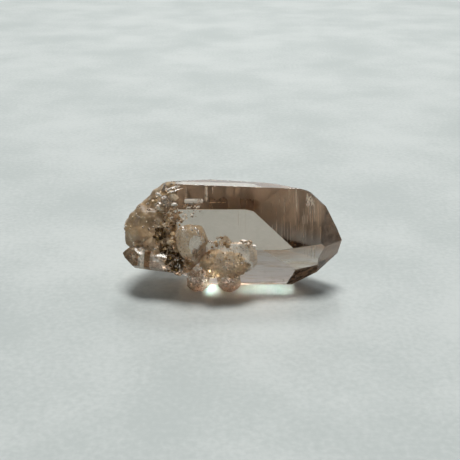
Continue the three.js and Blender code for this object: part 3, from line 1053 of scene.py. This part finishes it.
def makeCrack(along, up, depth, halfLength, halfHeight, turn, tilt):
    crack = bmesh.new()
    bmesh.ops.create_icosphere(crack, subdivisions=4, radius=1.0)

    def wave(vert, kind, start):
        amount, closeness = crackShape[kind]
        return amount * noise.noise(Vector((vert.co.x * closeness, vert.co.y * closeness, start)))

    for vert in crack.verts:
        ragged = 1 + wave(vert, "ragged", along)
        lift = wave(vert, "warp", along + 5) + wave(vert, "ripple", along + 9)
        vert.co = Vector((
            vert.co.x * halfLength * ragged, vert.co.y * halfHeight * ragged,
            vert.co.z * crackShape["thickness"] + lift * halfHeight))
    upward, outward = nearSide["up"], nearSide["out"]
    lie = Matrix(((1, 0, 0, 0), (0, upward.y, outward.y, 0), (0, upward.z, outward.z, 0), (0, 0, 0, 1)))
    turned = lie @ Matrix.Rotation(math.radians(turn), 4, "Y") @ Matrix.Rotation(math.radians(tilt), 4, "X")
    place = onSide(nearSide, along, up, -depth)
    bmesh.ops.transform(crack, matrix=Matrix.Translation(place) @ turned, verts=crack.verts)
    bmesh.ops.recalc_face_normals(crack, faces=crack.faces)
    bmesh.ops.reverse_faces(crack, faces=crack.faces)  # the quartz is outside it
    return finish(crack, *bare)


def sealIn(body, hollows):
    for hollow in hollows:
        mesh = bpy.data.meshes.new("hollow")
        hollow.to_mesh(mesh)
        hollow.free()
        body.from_mesh(mesh)
        bpy.data.meshes.remove(mesh)


def layPiece(shape, name, material, replaced, sharpFrom):
    bmesh.ops.triangulate(shape, faces=shape.faces)
    bmesh.ops.transform(shape, matrix=toFrame, verts=shape.verts)
    piece = makeObject(shape, name, scene.collection)
    piece.data.shade_smooth()
    piece.data.set_sharp_from_angle(angle=math.radians(sharpFrom))
    piece.data.materials.append(material)
    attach(piece, "root")
    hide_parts(replaced)
    print(f"  {name}: {len(piece.data.polygons)} triangles")


quartzLook = {
    "ior": 1.544,
    "smoke": rgb(0.53, 0.425, 0.30),
    "smokeDensity": 60.0,
    "frostRoughness": 0.75,
    "crustRoughness": 0.34,
    # painted shade: the glass is tinted darker towards the bottom, between these heights and by this much,
    # for the shaded floor seen through the lower faces
    "stainedLow": (9.0 * mm, 1.0 * mm),
    "lowStain": 0.2,
    "dullAbove": (6.0 * mm, 8.5 * mm),
    # painted shade: from these heights up the dull far side is tinted brown
    "rustAbove": (8.0 * mm, 12.5 * mm),
    "streaks": 0.3,
    "relief": 0.00004,
    "sharpFrom": 14.0,  # edges that turn by more degrees than this are sharp
    # how closely each pattern is set, per metre
    "patches": 420.0,
    "drift": 230.0,
    "lines": 2400.0,
    "panels": 330.0,
    "speckle": 2600.0,
    "combed": 900.0,
    # darker clouds on the far side: from, to, how high, and how much
    "shades": [(-5.6 * mm, 6.6 * mm, 17.4 * mm, 0.5), (7.0 * mm, 11.5 * mm, 16.4 * mm, 0.25)],
    # the rust colour, also used for the painted shade low down and on the far side
    "tint": rgb(0.69, 0.38, 0.195),
    "cream": rgb(0.86, 0.79, 0.70),
    "tan": rgb(0.66, 0.49, 0.30),
    "brown": rgb(0.26, 0.155, 0.07),
}


def attribute(start, name):
    return start.node("ShaderNodeAttribute", {"attribute_name": name}, 2)


def quartzMaterial():
    material, start, place = newMaterial("smoky quartz")
    frostOf, crustOf, rustOf, dullOf, hazeOf = (
        attribute(start, name) for name in ("frost", "crust", "rust", "dull", "haze"))
    patches = place.noise(quartzLook["patches"], 5.0)
    drift = place.noise(quartzLook["drift"])
    lines = place.stretched(1.0, 0.07, 0.07).noise(quartzLook["lines"], 3.0)
    panels = place.stretched(1.0, 0.15, 0.15).noise(quartzLook["panels"], 1.0)
    speckle = place.noise(quartzLook["speckle"], 3.0)
    combed = place.stretched(0.18, 1.0, 1.0, turned=(0.5, 0.15, 0.0)).noise(quartzLook["combed"], 3.0)
    along, height = place.part(0), place.part(2)
    # the far side is dull, with clouds in it; higher up it is tinted brown, painted shade for the shaded
    # floor that it mirrors inward
    dull = dullOf * height.between(*quartzLook["dullAbove"])
    farSideShadeTint = dullOf * height.between(*quartzLook["rustAbove"]) * 1.3
    streaks = hazeOf * combed.between(0.42, 0.68)
    dullFrost = dull * (0.75 + panels.between(0.48, 0.52) * 0.3 + lines.between(0.4, 0.65) * 0.25)
    wavering = (patches - 0.5) * (4.0 * mm)
    for fromLeft, toRight, below, amount in quartzLook["shades"]:
        drifting = along + wavering * 0.4
        across = drifting.between(fromLeft - 0.4 * mm, fromLeft + 0.4 * mm) * (
            1.0 - drifting.between(toRight - 0.9 * mm, toRight + 0.9 * mm))
        under = 1.0 - (height + wavering).between(below - 1.2 * mm, below + 1.2 * mm)
        dullFrost = dullFrost * (1.0 - across * under * amount)
    # frost, crust and rust lie in patches on the faces that have them, and in streaks on the hazy ones
    frost = (frostOf * (0.6 + patches.between(0.3, 0.65) * 0.5)).larger(dullFrost)
    frost = (frost + streaks * 0.5).clamped()
    crust = crustOf * (0.3 + patches.between(0.38, 0.62) * 0.65 + speckle.between(0.38, 0.62) * 0.5)
    crust = (crust + streaks * quartzLook["streaks"]).clamped()
    # rust here also carries the painted shade of the far side
    rust = (rustOf * (0.6 + drift.between(0.3, 0.7) * 0.7)).larger(farSideShadeTint)
    rust = (rust + streaks * 0.6).clamped()
    # rust stains, and painted shade that darkens the glass towards the bottom
    stainAndShade = (rust + height.between(*quartzLook["stainedLow"]) * quartzLook["lowStain"]).clamped()
    tint = stainAndShade.mix(rgb(1, 1, 1), quartzLook["tint"])
    coated = frostOf.larger(crustOf).clamped()
    relief = start.node("ShaderNodeBump", Strength=0.8, Distance=quartzLook["relief"],
                        Height=(patches * 0.4 + speckle * 0.6) * coated)
    glass = start.node("ShaderNodeBsdfPrincipled", Base_Color=tint, IOR=quartzLook["ior"], Normal=relief,
                       Roughness=frost * quartzLook["frostRoughness"], Transmission_Weight=1.0)
    stops = [(0.0, quartzLook["cream"]), (0.45, quartzLook["tan"]), (1.0, quartzLook["brown"])]
    crustColour = start.node("ShaderNodeValToRGB", {"stops": stops}, Fac=rust)
    skin = start.node("ShaderNodeBsdfPrincipled", Base_Color=crustColour, Normal=relief,
                      Roughness=quartzLook["crustRoughness"])
    surface = start.node("ShaderNodeMixShader", in0=crust, in1=glass, in2=skin)
    smoke = start.node("ShaderNodeVolumeAbsorption", Color=quartzLook["smoke"],
                       Density=quartzLook["smokeDensity"])
    start.node("ShaderNodeOutputMaterial", Surface=surface, Volume=smoke)
    return material


def isClosed(shape):
    return all(edge.is_manifold for edge in shape.edges)


print("stage: growing them together")

cluster = growTogether(makeLongCrystal(), [
    *(makeLump(look) for look in lumps.values()),
    makeStub(),
    *makeStriations(),
    makeLowLeftPoint(),
    *(makeCrystal(order + 1, *entry) for order, entry in enumerate(sharpCrystals.values())),
    *(makeBrightFace(*entry) for entry in brightFaces),
])
cluster = growTogether(cluster, sowDruse(cluster))
cutOff(cluster, Vector((0, 0, -1)), 0.0)
print("  closed:", isClosed(cluster), "faces:", len(cluster.faces))
skinOfQuartz = BVHTree.FromBMesh(cluster)
sealIn(cluster, [makeCrack(*entry) for entry in cracks])
layPiece(
    cluster, "quartz_crystals", quartzMaterial(), "quartz_cluster", quartzLook["sharpFrom"])

print("stage: iron clay")

clayLook = {
    "dark": rgb(0.028, 0.017, 0.008),
    "brown": rgb(0.15, 0.085, 0.03),
    "ochre": rgb(0.50, 0.35, 0.14),
    "patches": 700.0,
    "flecks": 1400.0,
    "grain": 5200.0,
    "relief": 0.00006,
    "sharpFrom": 40.0,
}

crumbShape = {
    "seed": 23,
    "bumps": [(1.1, 0.9), (0.4, 0.5)],  # as shares of its size
    "flatness": (0.5, 0.9),
    "standsOut": 0.15,
}

clayFields = {
    # middle, radius, count, size, turn and rise of the way it faces
    "upper patch": ((-15.9, -1.0, 15.6), 1.3, 60, (0.12, 0.40), (-95, 15)),
    "joining seam": ((-14.4, -1.0, 12.2), 1.6, 60, (0.08, 0.30), (-95, 5)),
    "lower patch": ((-12.4, -1.0, 9.2), 2.0, 90, (0.10, 0.42), (-90, 0)),
    "under the low left point": ((-13.8, 0.0, 6.6), 1.2, 24, (0.08, 0.25), (-90, -10)),
    "golden edge": ((-13.9, 0.0, 17.6), 1.6, 36, (0.06, 0.22), (-95, 20)),
    "block corner": ((1.9, -0.8, 10.7), 0.6, 9, (0.06, 0.16), (-88, 25)),
    "crumbs": ((-13.2, 0.0, 12.5), 4.4, 90, (0.05, 0.13), (-92, 10)),
    "under the ledge": ((-7.6, 2.0, 20.2), 1.9, 14, (0.05, 0.12), (-90, 20)),
}


def makeCrumb(size, seed):
    crumb = bmesh.new()
    bmesh.ops.create_icosphere(crumb, subdivisions=2, radius=size)
    roughen(crumb, [(size * wide, size * deep) for wide, deep in crumbShape["bumps"]], seed)
    return crumb


def makeClay():
    pick = random.Random(crumbShape["seed"])
    crumbs = []
    for middle, radius, count, sizes, (turn, rise) in clayFields.values():
        facing = pointing(turn, rise)
        for _ in range(count):
            above, size = drawSpot(pick, middle, radius, sizes, facing)
            place, normal, _, _ = skinOfQuartz.ray_cast(above, -facing)
            if place is None:
                continue
            crumb = makeCrumb(size, pick.uniform(0, 50))
            flatten = Matrix.Diagonal((1, 1, pick.uniform(*crumbShape["flatness"]), 1))
            bmesh.ops.transform(crumb, matrix=flatten, verts=crumb.verts)
            standAt(crumb, place + normal * size * crumbShape["standsOut"], normal)
            crumbs.append(crumb)
    first = crumbs.pop()
    return growTogether(first, crumbs)


def clayMaterial():
    material, start, place = newMaterial("iron clay")
    patches = place.noise(clayLook["patches"], 6.0, 0.65)
    grain = place.noise(clayLook["grain"], 4.0, 0.6)
    flecks = place.noise(clayLook["flecks"], 3.0).between(0.54, 0.68)
    dark = (patches * 0.6 + grain * 0.4).between(0.38, 0.60).mix(clayLook["dark"], clayLook["brown"])
    colour = flecks.mix(dark, clayLook["ochre"])
    relief = start.node("ShaderNodeBump", Strength=0.6, Distance=clayLook["relief"], Height=grain)
    roughness = 0.75 + grain * 0.2
    shader = start.node("ShaderNodeBsdfPrincipled", Base_Color=colour, Roughness=roughness, Normal=relief)
    start.node("ShaderNodeOutputMaterial", Surface=shader)
    return material


layPiece(makeClay(), "clay_crumbs", clayMaterial(), "iron_clay", clayLook["sharpFrom"])

print("stage: light paths")

lightPaths = {
    "max_bounces": 32,
    "transmission_bounces": 28,
    "glossy_bounces": 16,
    "diffuse_bounces": 4,
    "caustics_refractive": True,
    "caustics_reflective": True,
    "blur_glossy": 0.0,
    "sample_clamp_indirect": 14.0,
}

for name, value in lightPaths.items():
    setattr(scene.cycles, name, value)
scene.view_settings.view_transform = "Standard"
scene.view_settings.look = "Medium High Contrast"
